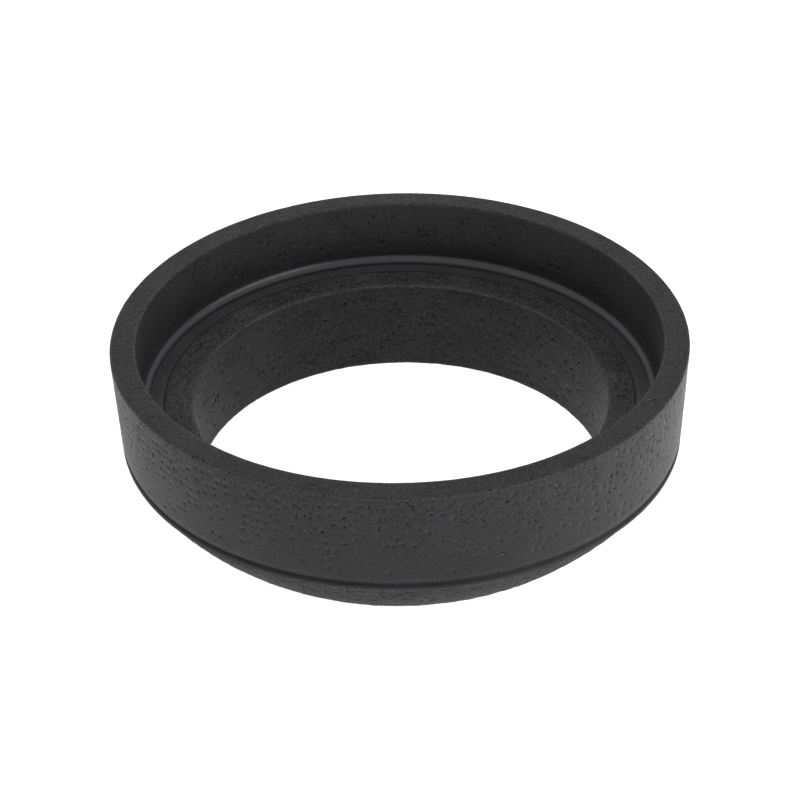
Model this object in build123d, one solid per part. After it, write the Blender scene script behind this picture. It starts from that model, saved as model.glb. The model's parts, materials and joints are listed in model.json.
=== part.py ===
from build123d import *
import math
import os

# Sponge-rubber seal ring for a toilet floor flange, in millimetres.
# The origin is on the ring's axis, in the plane of its bottom face, and +Z points up to the toilet.
# The ring is one moulding and every face is turned about Z, so one half-section describes it.

# Driving dimensions
outer_diameter = 121.0
total_height = 36.3
rim_wall = 5.4  # thickness of the cup's wall
cup_depth = 15.0  # from the rim down to the ledge inside the cup
bore_diameter = 88.4  # clears a 3-inch toilet outlet
band_height = 22.5  # outer band, from the rim down to the nose
band_draft = 0.9  # how far the band closes in from the rim to its lower edge
nose_face_width = 2.7  # flat ring at the foot of the nose
nose_bulge = 0.8  # how far the nose's slope swells out from a straight cone

# Edges and small features
rim_round = 0.3
cup_fillet = 2.0
ledge_skin_width = 3.0  # smooth strip between the cup's fillet and the crease in the ledge
landing_drop = 0.4  # how far the landing falls from the crease to the bore
bore_edge_round = 0.3
nose_edge_round = 0.3
groove_below_rim = 21.4  # deepest line of the seam groove
groove_depth = 0.45
groove_rise = 1.3  # height of the groove's long upper slope
groove_fall = 0.3  # height of its short lower slope
lip_step = 0.35  # how far the nose starts inside the band's lower edge

# Radii, from the axis
rim_radius = outer_diameter / 2
cup_radius = rim_radius - rim_wall
bore_radius = bore_diameter / 2
nose_face_radius = bore_radius + nose_face_width
band_foot_radius = rim_radius - band_draft
nose_top_radius = band_foot_radius - lip_step
crease_radius = cup_radius - cup_fillet - ledge_skin_width

# Heights, from the bottom face
nose_height = total_height - band_height
ledge_height = total_height - cup_depth
landing_height = ledge_height - landing_drop
groove_height = total_height - groove_below_rim


def band_radius(height):
    """Radius of the drafted outer band at a height above the bottom face."""
    share = (total_height - height) / band_height
    return rim_radius - band_draft * share


def nose_middle():
    """Point halfway up the nose's slope, pushed out along its normal by the bulge."""
    run = nose_top_radius - nose_face_radius
    length = math.hypot(run, nose_height)
    radius = (nose_face_radius + nose_top_radius) / 2 + nose_bulge * nose_height / length
    height = nose_height / 2 - nose_bulge * run / length
    return (radius, height)


def groove_points():
    """Lopsided V-shaped seam groove around the band, from its lower edge to its upper edge."""
    low = groove_height - groove_fall
    high = groove_height + groove_rise
    return [
        (band_radius(low), low),
        (band_radius(groove_height) - groove_depth, groove_height),
        (band_radius(high), high),
    ]


def half_section():
    """Closed half-section of the ring: X is the radius and Y the height."""
    foot = (nose_face_radius, 0)
    nose_top = (nose_top_radius, nose_height)
    band_foot = (band_foot_radius, nose_height)
    rim_outer = (rim_radius, total_height)
    rim_inner = (cup_radius, total_height)
    cup_corner = (cup_radius, ledge_height)
    crease = (crease_radius, ledge_height)
    bore_top = (bore_radius, landing_height)
    bore_bottom = (bore_radius, 0)

    nose = ThreePointArc(foot, nose_middle(), nose_top)
    band = Polyline(nose_top, band_foot, *groove_points(), rim_outer)
    cup = Polyline(rim_outer, rim_inner, cup_corner, crease, bore_top)
    bore = Polyline(bore_top, bore_bottom, foot)
    section = make_face([nose, band, cup, bore])

    rounds = {
        rim_outer: rim_round,
        rim_inner: rim_round,
        cup_corner: cup_fillet,
        bore_top: bore_edge_round,
        foot: nose_edge_round,
    }
    for corner, radius in rounds.items():
        nearest = min(section.vertices(), key=lambda v: math.dist((v.X, v.Y), corner))
        section = fillet(nearest, radius)
    return section


def seal_ring():
    """The half-section turned once about Z."""
    return revolve(Plane.XZ * half_section(), Axis.Z, 360)


os.makedirs("parts", exist_ok=True)
export_step(seal_ring(), "parts/seal_ring.step")
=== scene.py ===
import json
import math
import random
from collections import namedtuple

import bpy
import numpy as np
from mathutils import Matrix, Vector, noise


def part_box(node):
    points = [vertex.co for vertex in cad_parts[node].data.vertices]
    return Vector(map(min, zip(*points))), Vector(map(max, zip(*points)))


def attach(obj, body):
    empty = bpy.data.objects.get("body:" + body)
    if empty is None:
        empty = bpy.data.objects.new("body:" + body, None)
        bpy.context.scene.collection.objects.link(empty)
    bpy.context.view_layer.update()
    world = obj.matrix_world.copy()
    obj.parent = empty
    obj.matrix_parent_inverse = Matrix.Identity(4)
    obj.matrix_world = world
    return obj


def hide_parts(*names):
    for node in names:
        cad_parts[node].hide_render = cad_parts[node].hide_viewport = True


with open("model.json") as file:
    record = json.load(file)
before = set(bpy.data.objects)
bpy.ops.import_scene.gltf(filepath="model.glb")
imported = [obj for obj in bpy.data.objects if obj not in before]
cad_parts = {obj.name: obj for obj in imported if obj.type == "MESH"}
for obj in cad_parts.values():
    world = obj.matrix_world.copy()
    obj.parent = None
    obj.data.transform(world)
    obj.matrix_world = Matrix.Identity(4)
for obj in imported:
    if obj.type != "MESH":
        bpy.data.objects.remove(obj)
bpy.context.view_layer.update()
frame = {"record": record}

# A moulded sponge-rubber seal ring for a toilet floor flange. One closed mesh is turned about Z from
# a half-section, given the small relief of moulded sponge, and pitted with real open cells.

MM = 0.001
TURN = 2 * math.pi

# Sizes that the frame holds
box_low, box_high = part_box("seal_ring")
mounts = {mount["name"]: mount for mount in frame["record"]["mounts"]}
HEIGHT = box_high.z
RIM_RADIUS = (box_high.x - box_low.x) / 2
CUP_RADIUS = mounts["cup_bore"]["dims"]["r_mm"] * MM
BORE_RADIUS = mounts["outlet_bore"]["dims"]["r_mm"] * MM

# Sizes of the half-section, as in the CAD part
BAND_HEIGHT = 22.5 * MM
BAND_DRAFT = 0.9 * MM
CUP_DEPTH = 15.0 * MM
CUP_FILLET = 2.0 * MM
LEDGE_SKIN = 3.0 * MM
LANDING_DROP = 0.4 * MM
NOSE_FACE = 2.7 * MM
NOSE_BULGE = 0.8 * MM
EDGE_ROUND = 0.3 * MM
GROOVE_BELOW_RIM = 21.4 * MM
GROOVE_DEPTH = 0.45 * MM
GROOVE_RISE = 1.3 * MM
GROOVE_FALL = 0.3 * MM
LIP_STEP = 0.35 * MM

# Shape that only the visible ring has
FOOT_ROUND = EDGE_ROUND / 2
LIP_ROUND = 0.2 * MM
LIP_SHADOW = 0.35 * MM  # height of the strip of painted shadow under the lip
BORE_TAPER = 0.2 * MM  # how far the bore closes in at its foot
CUP_SHIFT = 0.2 * MM  # how far the cup sits to the left of the ring's axis
FLARE = 0.3 * MM  # how far the band's lower edge turns out, at one angle
FLARE_ANGLE = math.radians(325)
FLARE_POWER = 3

# Out of round at the rim: how many lobes, how far they push out, and their phase
LOBES = (
    (2, 0.16 * MM, -0.6),
    (3, 0.20 * MM, 1.6),
    (1, 0.12 * MM, -math.pi / 2),
)

# How dark the painted shade is in the groove, on the lip, under the lip and in the ledge's crease, from 0
# to 1, and how it changes round the ring
GROOVE_SHADE = 0.8
LIP_SHADE = 0.5
CREASE_SHADE = 0.85
GROOVE_FADE = 0.8  # share of the groove's painted shade that is lost where the band flares
GROOVE_FADE_POWER = 4
LIP_SIDE_POWER = 0.6

# The mesh
SEGMENTS = 400
ROW_STEP = 1.0 * MM
FINE_STEP = 0.3 * MM
SEED = 7

# Relief: a finer noise is added to the coarse one
FINE_SHARE = 0.5
FINE_RATIO = 2.3

ZONES = {
    # zone: material, relief height, relief size, how much the relief is flattened into level streaks
    "rim": ("rim_skin", 0.03 * MM, 1.6 * MM, 1.0),
    "band": ("moulded_skin", 0.04 * MM, 3.0 * MM, 1.0),
    "groove": ("moulded_skin", 0.03 * MM, 2.0 * MM, 1.0),
    "nose": ("nose_skin", 0.11 * MM, 1.8 * MM, 2.2),
    "foot": ("nose_skin", 0.04 * MM, 2.0 * MM, 1.0),
    "bore": ("bore_sponge", 0.08 * MM, 1.6 * MM, 2.4),
    "landing": ("landing_sponge", 0.10 * MM, 1.6 * MM, 1.0),
    "ledge": ("smooth_skin", 0.02 * MM, 3.0 * MM, 1.0),
    "cup": ("cup_skin", 0.04 * MM, 2.4 * MM, 1.0),
    "fillet": ("fillet_skin", 0.01 * MM, 4.0 * MM, 1.0),
}

# Where the pits are: the chance of one by zone, and in the band by depth, side and patch
PIT_COUNT = 2600
PIT_CHANCES = {"bore": 0.07, "landing": 0.2, "nose": 0.5, "cup": 0.02, "rim": 0.02}
BAND_LEAST = 0.03
BAND_CROWD_DEPTH = 0.40  # share of the band's height, from the rim down, where the pits crowd
BAND_FRONT = 0.55  # chance at the front and back, against 1 at the two sides
BAND_SIDE_POWER = 0.7
PATCH_SIZE = 5 * MM
PATCH_MIDDLE = 0.5
PATCH_CONTRAST = 1.6

# Shape of the pits
PIT_LOG_WIDTH = (-2.15, 0.42)  # mean and spread of the logarithm of the half-width in mm
PIT_WIDEST = 0.24  # the greatest half-width, in mm
PIT_DEPTH = (0.8, 1.4)  # in half-widths
PIT_STRETCH = (1.0, 1.7)  # length over width
LEVEL_ZONES = ("bore", "nose")  # here the pits lie level, drawn out round the ring
LEVEL_STRETCH = 1.9
PIT_TILT = 0.6  # radians, either way
PIT_SCATTER = 0.5 * MM
PIT_ROOM_LEVEL = 0.92  # share of its four faces that a pit may fill, round the ring
PIT_ROOM_DOWN = 0.8  # and across the rows
PIT_FLOOR = 0.62  # size and depth of the pit's lower ring of points, as a share of the pit's
PIT_RAGGED = (0.8, 1.0)  # how far out the points of the lip are, against a smooth oval

# Marks of wear on the bore wall: a slit that narrows as it falls, and a patch of scratches. The
# angles round the ring are in degrees, the slit's tilt in radians and its half-widths in mm.
SLIT_ANGLE = 157.5
SLIT_HEIGHT = 9.2 * MM
SLIT_FALL = 0.35 * MM
SLIT_TILT = -0.5
SLIT_WIDTHS = (0.34, 0.24, 0.13)
SLIT_REACH = 0.65 * MM
SLIT_DEPTH = 1.4 * MM
SCRATCH_ANGLES = (94, 107)
SCRATCH_HEIGHTS = (17.0 * MM, 18.9 * MM)

Row = namedtuple("Row", "radius height zone edge seam")
Pit = namedtuple("Pit", "i j long wide tilt depth along drop")


# ---------------------------------------------------------------- half-section


def band_radius(height):
    """Radius of the drafted outer band at a height."""
    return RIM_RADIUS - BAND_DRAFT * (HEIGHT - height) / BAND_HEIGHT


def section_corners():
    """Corners of the half-section: place, rounding, and the zone and bulge of the edge that follows."""
    ledge = HEIGHT - CUP_DEPTH
    nose_top = HEIGHT - BAND_HEIGHT
    groove = HEIGHT - GROOVE_BELOW_RIM
    upper, lower = groove + GROOVE_RISE, groove - GROOVE_FALL
    foot = band_radius(nose_top)
    return [
        ((CUP_RADIUS, HEIGHT), EDGE_ROUND, "rim", 0),
        ((RIM_RADIUS, HEIGHT), EDGE_ROUND, "band", 0),
        ((band_radius(upper), upper), 0, "groove", 0),
        ((band_radius(groove) - GROOVE_DEPTH, groove), 0, "groove", 0),
        ((band_radius(lower), lower), 0, "groove", 0),
        ((foot, nose_top), LIP_ROUND, "groove", 0),
        ((foot - LIP_STEP, nose_top), 0, "groove", 0),
        ((foot - LIP_STEP - LIP_SHADOW / 2, nose_top - LIP_SHADOW), 0, "nose", -NOSE_BULGE),
        ((BORE_RADIUS + NOSE_FACE, 0), EDGE_ROUND, "foot", 0),
        ((BORE_RADIUS - BORE_TAPER, 0), FOOT_ROUND, "bore", 0),
        ((BORE_RADIUS, ledge - LANDING_DROP), EDGE_ROUND, "landing", 0),
        ((CUP_RADIUS - CUP_FILLET - LEDGE_SKIN, ledge), 0, "ledge", 0),
        ((CUP_RADIUS, ledge), CUP_FILLET, "cup", 0),
    ]


def seam_shade(radius, height, zone):
    """How much painted shade a place of the half-section gets: in the groove, on the lip, in the strip
    under the lip and in the ledge's crease.
    """
    if zone == "ledge" and radius < CUP_RADIUS - CUP_FILLET - LEDGE_SKIN + FINE_STEP:
        return CREASE_SHADE
    if zone != "groove":
        return 0.0
    above = height - (HEIGHT - GROOVE_BELOW_RIM)
    if above > 0:
        return GROOVE_SHADE * max(0.0, 1 - above / GROOVE_RISE) ** 2
    if height < HEIGHT - BAND_HEIGHT + FINE_STEP:
        return 1.0
    return GROOVE_SHADE if above > -FINE_STEP / 2 else LIP_SHADE


def seam_shade_strength(angle, row):
    """The painted shade in the groove fades where the band flares; the painted shadow under the lip is
    darkest at the two sides.
    """
    if row.zone not in ("groove", "nose"):
        return 1.0
    if row.height < HEIGHT - BAND_HEIGHT + FINE_STEP:
        return abs(math.cos(angle)) ** LIP_SIDE_POWER
    return 1 - GROOVE_FADE * max(0.0, math.cos(angle - FLARE_ANGLE)) ** GROOVE_FADE_POWER


def rounded(before, corner, after, radius):
    """Points of the arc that rounds a corner, from the edge before it to the edge after it."""
    here = np.array(corner)
    back = np.array(before) - here
    ahead = np.array(after) - here
    back, ahead = back / np.linalg.norm(back), ahead / np.linalg.norm(ahead)
    half = math.acos(float(np.clip(back @ ahead, -1, 1))) / 2
    centre = here + (back + ahead) / np.linalg.norm(back + ahead) * radius / math.sin(half)
    start, end = here + back * radius / math.tan(half), here + ahead * radius / math.tan(half)
    angles = [math.atan2(*(p - centre)[::-1]) for p in (start, end)]
    sweep = (angles[1] - angles[0] + math.pi) % TURN - math.pi
    steps = max(3, round(abs(sweep) * radius / FINE_STEP))
    turns = [angles[0] + sweep * k / steps for k in range(steps + 1)]
    return [centre + radius * np.array((math.cos(t), math.sin(t))) for t in turns]


def section_rows():
    """Every row of the mesh round the half-section, in order."""
    corners = section_corners()
    arcs = []
    for k, (place, radius, _, _) in enumerate(corners):
        before, after = corners[k - 1][0], corners[(k + 1) % len(corners)][0]
        arcs.append(rounded(before, place, after, radius) if radius else [np.array(place)])
    rows = []
    for k, (_, radius, zone, bulge) in enumerate(corners):
        on_fillet = radius == CUP_FILLET
        on_edge = radius > 0 and not on_fillet and zone != "groove"
        name = "fillet" if on_fillet else zone
        for point in arcs[k]:
            rows.append(Row(*point, name, float(on_edge), seam_shade(*point, zone)))
        start, end = arcs[k][-1], arcs[(k + 1) % len(arcs)][0]
        length = float(np.linalg.norm(end - start))
        step = FINE_STEP if zone == "groove" else ROW_STEP
        count = max(1, round(length / step))
        across = np.array(((end - start)[1], -(end - start)[0])) / length
        for n in range(1, count):
            # A bulging edge is a parabola, highest in its middle
            share = n / count
            point = start + (end - start) * share + across * bulge * 4 * share * (1 - share)
            rows.append(Row(*point, zone, 0.0, seam_shade(*point, zone)))
    return rows


# ---------------------------------------------------------------- ring mesh


def out_of_round(angle, row):
    """How far a place is pushed out: by the lobes, by the cup's shift and by the band's flare."""
    lobes = sum(size * math.cos(count * angle + phase) for count, size, phase in LOBES)
    push = lobes * row.height / HEIGHT
    if row.zone in ("cup", "fillet", "ledge"):
        push -= CUP_SHIFT * math.cos(angle)
    if row.zone in ("band", "groove"):
        low = (HEIGHT - row.height) / BAND_HEIGHT
        push += FLARE * low * max(0.0, math.cos(angle - FLARE_ANGLE)) ** FLARE_POWER
    return push


def ring_points(rows):
    """Mesh points by row and segment: the half-section turned about Z, with its relief."""
    section = np.array([(row.radius, row.height) for row in rows])
    along = np.roll(section, -1, 0) - np.roll(section, 1, 0)
    along /= np.linalg.norm(along, axis=1)[:, None]
    outward = np.stack((-along[:, 1], along[:, 0]), 1)
    points = np.zeros((len(rows), SEGMENTS, 3))
    for i, row in enumerate(rows):
        _, amount, size, streak = ZONES[row.zone]
        for j in range(SEGMENTS):
            angle = TURN * j / SEGMENTS
            side = Vector((math.cos(angle), math.sin(angle), 0))
            place = side * row.radius + Vector((0, 0, row.height))
            sample = Vector((place.x, place.y, place.z * streak)) / size
            bump = (noise.noise(sample) + FINE_SHARE * noise.noise(sample * FINE_RATIO)) * amount
            radius = row.radius + out_of_round(angle, row) + outward[i, 0] * bump
            points[i, j] = (*(side.xy * radius), row.height + outward[i, 1] * bump)
    # No relief reaches below the bottom plane
    points[:, :, 2] = np.maximum(points[:, :, 2], 0)
    return points


def pit_chance(zone, angle, height):
    """How likely a pit is at a place, from 0 to 1: most in the upper band, at its two sides."""
    if zone == "band":
        depth = (HEIGHT - height) / BAND_HEIGHT
        side = BAND_FRONT + (1 - BAND_FRONT) * abs(math.cos(angle)) ** BAND_SIDE_POWER
        return (BAND_LEAST + (1 - BAND_LEAST) * math.exp(-((depth / BAND_CROWD_DEPTH) ** 2))) * side
    low, high = (math.radians(turn) for turn in SCRATCH_ANGLES)
    if zone == "bore" and low < angle < high and SCRATCH_HEIGHTS[0] < height < SCRATCH_HEIGHTS[1]:
        return 1.0
    return PIT_CHANCES.get(zone, 0)


def patchy(radius, angle, height):
    """Uneven crowding, so the pits gather in patches a few millimetres wide."""
    place = Vector((radius * math.cos(angle), radius * math.sin(angle), height)) / PATCH_SIZE
    return min(1.0, max(0.0, PATCH_MIDDLE + PATCH_CONTRAST * noise.noise(place)))


# The eight mesh points round a pit's middle, in order, as steps in row and segment
AROUND = [(-1, -1), (-1, 0), (-1, 1), (0, 1), (1, 1), (1, 0), (1, -1), (0, -1)]


def pit_faces(i, j):
    """The four faces that meet at a mesh point, which a pit there takes the place of."""
    return {(i + a, (j + b) % SEGMENTS) for a in (-1, 0) for b in (-1, 0)}


def slit_pits(rows):
    """Long pits end to end round the bore wall, which make one slit that narrows as it falls."""
    bore = [i for i, row in enumerate(rows) if row.zone == "bore"]
    i = min(bore, key=lambda n: abs(rows[n].height - SLIT_HEIGHT))
    first = round(SLIT_ANGLE / 360 * SEGMENTS)
    pits = []
    for k, wide in enumerate(SLIT_WIDTHS):
        drop = SLIT_FALL * (1 - k)
        pits.append(Pit(i, first + 2 * k, SLIT_REACH, wide * MM, SLIT_TILT, SLIT_DEPTH, 0.0, drop))
    return pits


def ring_pits(rows, draw):
    """Every pit, each in the middle of two by two faces that no other pit uses, and those faces."""
    pits = slit_pits(rows)
    used = set().union(*(pit_faces(pit.i, pit.j) for pit in pits))
    while len(pits) < PIT_COUNT:
        i, j = draw.randrange(len(rows)), draw.randrange(SEGMENTS)
        near = [rows[(i + k) % len(rows)] for k in (-1, 0, 1)]
        row, angle = near[1], TURN * j / SEGMENTS
        plain = all(other.zone == row.zone and not other.edge for other in near)
        chance = pit_chance(row.zone, angle, row.height) * patchy(row.radius, angle, row.height)
        if not plain or draw.random() > chance or pit_faces(i, j) & used:
            continue
        used |= pit_faces(i, j)
        level = row.zone in LEVEL_ZONES
        wide = min(draw.lognormvariate(*PIT_LOG_WIDTH), PIT_WIDEST) * MM
        long = wide * (LEVEL_STRETCH if level else draw.uniform(*PIT_STRETCH))
        tilt = 0.0 if level else draw.uniform(-PIT_TILT, PIT_TILT)
        along, drop = (draw.uniform(-PIT_SCATTER, PIT_SCATTER) for _ in range(2))
        pits.append(Pit(i, j, long, wide, tilt, wide * draw.uniform(*PIT_DEPTH), along, drop))
    return pits, used


def pit_rings(pit, around, centre, draw):
    """Points of a pit: those round its lip, those round its floor, and the bottom one."""
    # Of the points around, 7 and 3 lie before and after along the segments, 1 and 5 along the rows
    offsets = np.array(around) - centre
    level, down = offsets[3] - offsets[7], offsets[5] - offsets[1]
    width, height = np.linalg.norm(level) / 2, np.linalg.norm(down) / 2
    level, down = level / (2 * width), down / (2 * height)
    inward = np.cross(level, down)
    room_level, room_down = PIT_ROOM_LEVEL * width, PIT_ROOM_DOWN * height
    long, wide = min(pit.long, room_level), min(pit.wide, room_down)
    along = max(long - room_level, min(room_level - long, pit.along))
    drop = max(wide - room_down, min(room_down - wide, pit.drop))
    middle = centre + level * along + down * drop
    lip, floor = [], []
    for offset in offsets:
        turn = math.atan2(offset @ down / height, offset @ level / width) - pit.tilt
        reach = draw.uniform(*PIT_RAGGED)
        x, y = long * math.cos(turn) * reach, wide * math.sin(turn) * reach
        ahead = x * math.cos(pit.tilt) - y * math.sin(pit.tilt)
        fall = x * math.sin(pit.tilt) + y * math.cos(pit.tilt)
        step = level * ahead + down * fall
        lip.append(middle + step)
        floor.append(middle + (step + inward * pit.depth) * PIT_FLOOR)
    return lip, floor, middle + inward * pit.depth


def ring_mesh():
    """The whole ring as one closed mesh with its pits, and the amounts that its materials use."""
    rows = section_rows()
    points = ring_points(rows)
    draw = random.Random(SEED)
    pits, used = ring_pits(rows, draw)
    vertices = [tuple(p) for p in points.reshape(-1, 3)]
    places = [(row, TURN * j / SEGMENTS) for row in rows for j in range(SEGMENTS)]
    # Amounts for the materials: where the pits are and how dark the painted shade of the groove, the lip
    # and the crease is; how near a rounded edge is, for its wear and painted highlight; and the chance of
    # pits
    amounts = {
        "pit": [0.0] * len(vertices),
        "edge": [row.edge for row, _ in places],
        "seam": [row.seam * seam_shade_strength(angle, row) for row, angle in places],
        "crowd": [pit_chance(row.zone, angle, row.height) for row, angle in places],
    }
    zone_slots = sorted({zone[0] for zone in ZONES.values()})
    faces, slots, smooth = [], [], []

    def index(i, j):
        return (i % len(rows)) * SEGMENTS + j % SEGMENTS

    def add_face(corners, slot, smooth_face=True):
        faces.append(corners)
        slots.append(slot)
        smooth.append(smooth_face)

    for i, row in enumerate(rows):
        slot = zone_slots.index(ZONES[row.zone][0])
        for j in range(SEGMENTS):
            if (i, j) not in used:
                add_face((index(i, j), index(i, j + 1), index(i + 1, j + 1), index(i + 1, j)), slot)

    sides = len(AROUND)
    for pit in pits:
        slot = zone_slots.index(ZONES[rows[pit.i].zone][0])
        middle = index(pit.i, pit.j)
        around = [index(pit.i + a, pit.j + b) for a, b in AROUND]
        centre = np.array(vertices[middle])
        lip, floor, bottom = pit_rings(pit, [vertices[k] for k in around], centre, draw)
        upper = len(vertices)
        lower = upper + sides
        vertices.extend(tuple(p) for p in lip + floor)
        vertices[middle] = tuple(bottom)
        amounts["pit"][middle] = 1.0
        amounts["pit"].extend([0.0] * sides + [1.0] * sides)
        for name in ("edge", "seam", "crowd"):
            amounts[name].extend([amounts[name][middle]] * 2 * sides)
        for k in range(sides):
            n = (k + 1) % sides
            add_face((around[k], around[n], upper + n, upper + k), slot)
            add_face((upper + k, upper + n, lower + n, lower + k), slot, False)
            add_face((lower + k, lower + n, middle), slot, False)

    mesh = bpy.data.meshes.new("sponge_seal_ring")
    mesh.from_pydata(vertices, [], faces)
    mesh.polygons.foreach_set("material_index", slots)
    mesh.polygons.foreach_set("use_smooth", smooth)
    for name, values in amounts.items():
        mesh.attributes.new(name, "FLOAT", "POINT").data.foreach_set("value", values)
    for name in zone_slots:
        mesh.materials.append(MATERIALS[name]())
    mesh.update()
    return mesh


# ---------------------------------------------------------------- materials

# Sizes and shares of the surface's marks
GRAIN_SIZE = 0.45 * MM  # coarser on the landing, the bore and the nose
MOTTLE_SIZE = 9 * MM
MOTTLE_SHARE = 0.2  # the rest of the shade comes from the grain
SHADE_RANGE = (0.38, 0.62)
ROUGH_RANGE = (0.35, 0.65)
BUMP_DISTANCE = 0.15 * MM

# Open cells: two spacings, bent by a wobble, and gathered in clusters
CELL_SPACINGS = (1.1 * MM, 0.7 * MM)
CELL_EDGE = (0.12, 0.27)
CELL_DEPTH = 1.2
WOBBLE_SIZE = 0.5 * MM
WOBBLE = 0.3 * MM
CLUSTER_SIZE = 3.5 * MM
CLUSTER_EDGE = (0.38, 0.6)
CLUSTER_SHARE = (0.3, 1.0)

# Hollows and the lines of the groove, the lip and the crease get painted shade, and hollows are rough;
# flecks of dust are pale, and so are worn edges, which also carry a painted highlight
HOLLOW_SHADE = 0.85
HOLLOW_SHADE_GREY = 0.001
HOLLOW_ROUGHNESS = 0.95
SEAM_SHADE_EDGE = (0.4, 1.0)
WORN_HIGHLIGHT_GREY = 0.07
WORN_HIGHLIGHT_EDGE = (0.5, 1.0)
WORN_HIGHLIGHT_GRAIN = (0.35, 0.65)
WORN_HIGHLIGHT_SHARE = (0.05, 0.4)
FLECK_SPACING = 1.9 * MM
FLECK_EDGE = (0.05, 0.11)
FLECK_GREY = 0.11


class Nodes:
    """A node tree: adds nodes and joins their sockets."""

    def __init__(self, tree):
        self.nodes = tree.nodes
        self.links = tree.links

    def put(self, value, socket):
        """Joins a socket to another, or sets it to a plain value."""
        if isinstance(value, bpy.types.NodeSocket):
            self.links.new(value, socket)
        else:
            socket.default_value = value

    def node(self, kind, inputs=(), **settings):
        """A new node with its settings and inputs given."""
        made = self.nodes.new("ShaderNode" + kind)
        for key, value in settings.items():
            setattr(made, key, value)
        for key, value in dict(inputs).items():
            self.put(value, made.inputs[key])
        return made

    def arithmetic(self, operation, a, b):
        """Arithmetic on two numbers or sockets."""
        return self.node("Math", {0: a, 1: b}, operation=operation).outputs[0]

    def plus(self, a, b):
        return self.arithmetic("ADD", a, b)

    def minus(self, a, b):
        return self.arithmetic("SUBTRACT", a, b)

    def times(self, a, b):
        return self.arithmetic("MULTIPLY", a, b)

    def larger(self, a, b):
        return self.arithmetic("MAXIMUM", a, b)

    def vector(self, operation, inputs, output="Vector"):
        """Arithmetic on vectors."""
        return self.node("VectorMath", inputs, operation=operation).outputs[output]

    def ramp(self, value, low, high, to_low=0.0, to_high=1.0):
        """Smooth change from to_low to to_high as value goes from low to high."""
        inputs = {"Value": value, "From Min": low, "From Max": high, "To Min": to_low, "To Max": to_high}
        return self.node("MapRange", inputs, interpolation_type="SMOOTHSTEP").outputs["Result"]

    def mix(self, share, a, b):
        """Blend of two colours."""
        made = self.nodes.new("ShaderNodeMix")
        made.data_type = "RGBA"
        self.put(share, made.inputs["Factor"])
        for value, socket in ((a, made.inputs[6]), (b, made.inputs[7])):
            self.put(value, socket)
        return made.outputs[2]

    def texture(self, kind, vector, size, **inputs):
        """A noise or cell texture whose features are about size metres across."""
        return self.node("Tex" + kind, {"Vector": vector, "Scale": 1 / size, **inputs})

    def amount(self, name):
        """One of the amounts that the mesh holds."""
        return self.node("Attribute", attribute_name=name).outputs["Fac"]

    def chosen(self, cells, share):
        """1 in a random share of the cells of a cell texture, 0 in the others."""
        pick = self.node("SeparateColor", {"Color": cells.outputs["Color"]}).outputs[0]
        return self.arithmetic("LESS_THAN", pick, share)


def new_material(name):
    """A material with its node tree and the inputs of its surface shader."""
    material = bpy.data.materials.new(name)
    material.use_nodes = True
    return material, Nodes(material.node_tree), material.node_tree.nodes["Principled BSDF"].inputs


def grey(level, blue=1.0):
    """A grey, with its blue part scaled."""
    return (level, level, level * blue, 1.0)


def open_cells(tree, place, share):
    """Small open cells of two sizes, ragged in outline, in a share of the places."""
    wobble = tree.texture("Noise", place, WOBBLE_SIZE, Detail=1).outputs["Color"]
    bent = tree.vector("ADD", {0: place, 1: tree.vector("SCALE", {0: wobble, "Scale": WOBBLE})})
    holes = 0.0
    for spacing in CELL_SPACINGS:
        cells = tree.texture("Voronoi", bent, spacing)
        hole = tree.ramp(cells.outputs["Distance"], *CELL_EDGE, 1.0, 0.0)
        holes = tree.larger(tree.times(hole, tree.chosen(cells, share)), holes)
    return holes


def clustered(tree, place, cells):
    """Share of open cells at a place: where the pits crowd, and there in clusters."""
    patches = tree.texture("Noise", place, CLUSTER_SIZE, Detail=2).outputs["Fac"]
    crowd = tree.times(tree.amount("crowd"), tree.ramp(patches, *CLUSTER_EDGE, *CLUSTER_SHARE))
    return tree.times(crowd, cells)


def shade_in_hollows(tree, holes):
    """How much painted shade a place gets, from 0 to 1: in the pits, in the open cells and along the lines
    of the groove, the lip and the ledge's crease.
    """
    sunk = tree.times(tree.larger(tree.amount("pit"), holes), HOLLOW_SHADE)
    return tree.larger(sunk, tree.ramp(tree.amount("seam"), *SEAM_SHADE_EDGE))


def wear_and_highlight(tree, grain):
    """How pale a rounded edge is, broken up by the grain: wear, and a painted highlight along the edge."""
    edge = tree.ramp(tree.amount("edge"), *WORN_HIGHLIGHT_EDGE)
    return tree.times(edge, tree.ramp(grain, *WORN_HIGHLIGHT_GRAIN, *WORN_HIGHLIGHT_SHARE))


def flecks(tree, place, dust):
    """Specks of dust, in a share of the places where one could be."""
    cells = tree.texture("Voronoi", place, FLECK_SPACING)
    speck = tree.ramp(cells.outputs["Distance"], *FLECK_EDGE, 1.0, 0.0)
    return tree.times(speck, tree.chosen(cells, dust))


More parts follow.
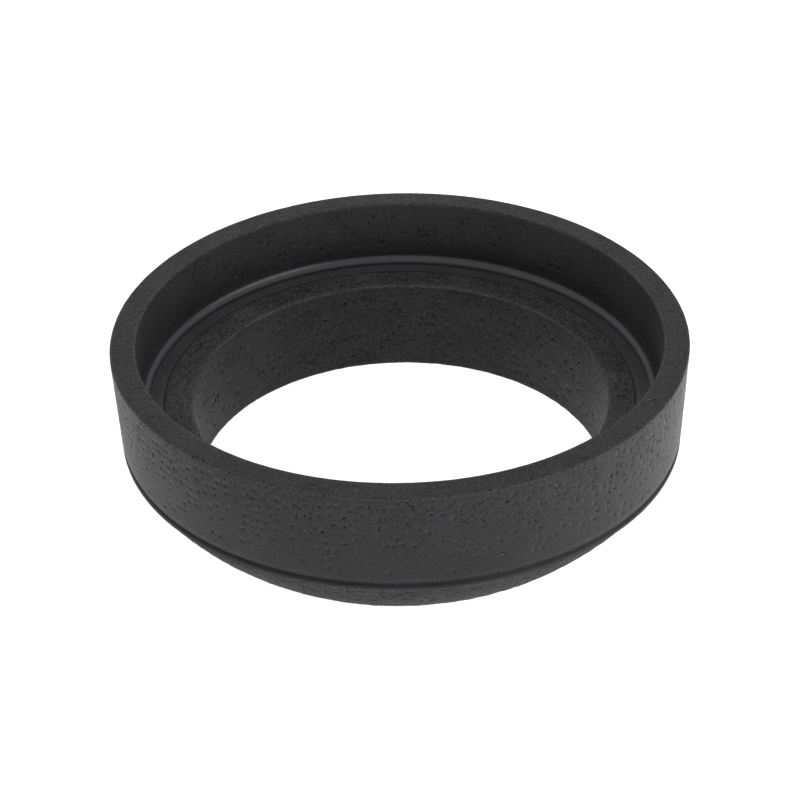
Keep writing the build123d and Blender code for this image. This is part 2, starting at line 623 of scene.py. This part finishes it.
def sponge(name, dark, light, roughness, uneven, relief, cells,
           grain_size=GRAIN_SIZE, streak=1.0, dust=0.15, gloss=0.32):
    """Black sponge rubber: mottled colour, fine grain, small open cells, pits, worn edges and dust, with
    painted shade in the pits, the cells and the lines of the groove, and a painted highlight on the worn
    edges.

    The roughness wanders by uneven, relief is the height of the grain, cells the share of open cells
    where pits are sure, streak how much the grain is drawn out level, and dust the share of flecks.
    """
    material, tree, surface = new_material(name)
    place = tree.node("TexCoord").outputs["Object"]
    level = tree.node("Mapping", {"Vector": place, "Scale": (1, 1, streak)}).outputs["Vector"]
    mottle = tree.texture("Noise", level, MOTTLE_SIZE, Detail=4).outputs["Fac"]
    grain = tree.texture("Noise", level, grain_size, Detail=3, Roughness=0.7).outputs["Fac"]
    shade = tree.plus(tree.times(mottle, MOTTLE_SHARE), tree.times(grain, 1 - MOTTLE_SHARE))
    holes = open_cells(tree, level, clustered(tree, place, cells))
    hollow_shade = shade_in_hollows(tree, holes)

    colour = tree.mix(tree.ramp(shade, *SHADE_RANGE), dark, light)
    # Pale rounded edges: wear, and a painted highlight along each edge
    colour = tree.mix(wear_and_highlight(tree, grain), colour, grey(WORN_HIGHLIGHT_GREY))
    # Painted shade in the pits, in the open cells and along the lines of the groove, the lip and the crease
    colour = tree.mix(hollow_shade, colour, grey(HOLLOW_SHADE_GREY))
    colour = tree.mix(flecks(tree, place, dust), colour, grey(FLECK_GREY))

    rough = tree.ramp(shade, *ROUGH_RANGE, roughness + uneven, roughness - uneven)
    rough = tree.plus(rough, tree.times(hollow_shade, HOLLOW_ROUGHNESS - roughness))
    height = tree.minus(tree.times(grain, relief), tree.times(holes, CELL_DEPTH))
    bump = tree.node("Bump", {"Height": height, "Strength": 1.0, "Distance": BUMP_DISTANCE})
    tree.put(colour, surface["Base Color"])
    tree.put(rough, surface["Roughness"])
    tree.put(bump.outputs["Normal"], surface["Normal"])
    surface["Specular IOR Level"].default_value = gloss
    return material


def moulded_skin():
    return sponge("moulded_skin", grey(0.003, 1.2), grey(0.014, 1.2),
                  roughness=0.47, uneven=0.05, relief=0.6, cells=0.9)


def cup_skin():
    return sponge("cup_skin", grey(0.009, 1.1), grey(0.023, 1.1),
                  roughness=0.50, uneven=0.04, relief=0.6, cells=0.8)


def rim_skin():
    return sponge("rim_skin", grey(0.004, 1.1), grey(0.026, 1.1),
                  roughness=0.56, uneven=0.05, relief=0.7, cells=0.8, dust=0.5)


def smooth_skin():
    return sponge("smooth_skin", grey(0.030, 1.08), grey(0.052, 1.08),
                  roughness=0.32, uneven=0.03, relief=0.25, cells=0.2, dust=0.1, gloss=0.5)


def fillet_skin():
    return sponge("fillet_skin", grey(0.007, 1.3), grey(0.015, 1.3),
                  roughness=0.30, uneven=0.03, relief=0.25, cells=0.2, dust=0.1, gloss=0.65)


def landing_sponge():
    return sponge("landing_sponge", grey(0.008), grey(0.052),
                  roughness=0.55, uneven=0.05, relief=0.8, cells=1.0, grain_size=0.55 * MM)


def bore_sponge():
    return sponge("bore_sponge", grey(0.001), grey(0.019),
                  roughness=0.57, uneven=0.04, relief=0.6, cells=1.0,
                  grain_size=0.6 * MM, streak=1.8, gloss=0.24)


def nose_skin():
    return sponge("nose_skin", grey(0.0), grey(0.017),
                  roughness=0.62, uneven=0.10, relief=1.2, cells=1.0,
                  grain_size=0.8 * MM, streak=2.6, gloss=0.18)


MATERIALS = {
    "moulded_skin": moulded_skin,
    "cup_skin": cup_skin,
    "rim_skin": rim_skin,
    "smooth_skin": smooth_skin,
    "fillet_skin": fillet_skin,
    "landing_sponge": landing_sponge,
    "bore_sponge": bore_sponge,
    "nose_skin": nose_skin,
}


# ---------------------------------------------------------------- studio

# The table, which glows as a light table does; FLOOR_GLOW is the strength at the left and at the right
FLOOR_RADIUS = 3.0
FLOOR_GAP = 0.1 * MM
FLOOR_GLOW = (0.78, 1.2)
GLOW_REACH = 0.15
FLOOR_TINT = 0.42
FLOOR_MOTTLE = 0.03
FLOOR_MOTTLE_SIZE = 0.4
FLOOR_ROUGHNESS = 0.8
FLOOR_GLOSS = 0.2

# The tent and its brighter patch; KEY_SPREAD is the closeness where it starts and where it is full
WORLD_LIGHT = 0.82
KEY_LIGHT = 1.7
KEY_DIRECTION = (0.87, -0.47, 0.16)
KEY_SPREAD = (0.84, 0.98)

# The camera looks from a number of rim radii away; its angles are in degrees.
CAMERA_DISTANCE = 7.87
CAMERA_RISE = 31.82
CAMERA_PITCH = -33.58
CAMERA_YAW = -0.0226
CAMERA_ROLL = -0.94
CAMERA_LENS = 102.0
CAMERA_NEAR = 0.01
# The frame's box is that of a mesh, which is a little smaller than the true rim.
TRUE_RIM_RADIUS = 60.5 * MM


def floor():
    """A plain pale table, lit from below as a light table is, a little more on the right."""
    mesh = bpy.data.meshes.new("floor")
    corners = [(x * FLOOR_RADIUS, y * FLOOR_RADIUS, 0) for x, y in ((-1, -1), (1, -1), (1, 1), (-1, 1))]
    mesh.from_pydata(corners, [], [(0, 1, 2, 3)])
    material, tree, surface = new_material("pale_table")
    place = tree.node("TexCoord").outputs["Object"]
    tone = tree.texture("Noise", place, FLOOR_MOTTLE_SIZE).outputs["Fac"]
    tree.put(tree.mix(tone, grey(FLOOR_TINT), grey(FLOOR_TINT + FLOOR_MOTTLE)), surface["Base Color"])
    surface["Roughness"].default_value = FLOOR_ROUGHNESS
    surface["Specular IOR Level"].default_value = FLOOR_GLOSS
    surface["Emission Color"].default_value = grey(1.0)
    sideways = tree.vector("DOT_PRODUCT", {0: place, 1: (1, 0, 0)}, "Value")
    tree.put(tree.ramp(sideways, -GLOW_REACH, GLOW_REACH, *FLOOR_GLOW), surface["Emission Strength"])
    mesh.materials.append(material)
    made = bpy.data.objects.new("floor", mesh)
    made.location.z = -FLOOR_GAP
    bpy.context.scene.collection.objects.link(made)


def studio():
    """A white tent all round, with a brighter patch low down on the right-hand side."""
    world = bpy.data.worlds.new("white_tent")
    world.use_nodes = True
    tree = Nodes(world.node_tree)
    direction = tree.node("TexCoord").outputs["Generated"]
    towards = Vector(KEY_DIRECTION).normalized()
    closeness = tree.vector("DOT_PRODUCT", {0: direction, 1: towards}, "Value")
    strength = tree.ramp(closeness, *KEY_SPREAD, WORLD_LIGHT, WORLD_LIGHT + KEY_LIGHT)
    backdrop = world.node_tree.nodes["Background"].inputs
    backdrop["Color"].default_value = grey(1.0)
    tree.put(strength, backdrop["Strength"])
    bpy.context.scene.world = world
    bpy.context.scene.view_settings.view_transform = "Standard"


def camera():
    """A long lens above the ring, looking down at it, tilted and rolled a little."""
    angles = (CAMERA_RISE, CAMERA_PITCH, CAMERA_YAW, CAMERA_ROLL)
    rise, pitch, yaw, roll = (math.radians(angle) for angle in angles)
    distance = CAMERA_DISTANCE * TRUE_RIM_RADIUS
    place = Vector((0, -math.cos(rise), math.sin(rise))) * distance + Vector((0, 0, HEIGHT))
    forward = Vector((math.sin(yaw) * math.cos(pitch), math.cos(yaw) * math.cos(pitch), math.sin(pitch)))
    level = Vector((math.cos(yaw), -math.sin(yaw), 0))
    above = level.cross(forward)
    right = level * math.cos(roll) + above * math.sin(roll)
    up = above * math.cos(roll) - level * math.sin(roll)
    turn = Matrix((right, up, -forward)).transposed().to_4x4()
    data = bpy.data.cameras.new("camera")
    data.lens = CAMERA_LENS
    data.clip_start = CAMERA_NEAR
    made = bpy.data.objects.new("camera", data)
    made.matrix_world = Matrix.Translation(place) @ turn
    bpy.context.scene.collection.objects.link(made)
    bpy.context.scene.camera = made


def seal_ring():
    """The visible ring, which stands for the CAD node."""
    ring = bpy.data.objects.new("sponge_seal_ring", ring_mesh())
    bpy.context.scene.collection.objects.link(ring)
    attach(ring, "root")
    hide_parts("seal_ring")


studio()
camera()
floor()
seal_ring()
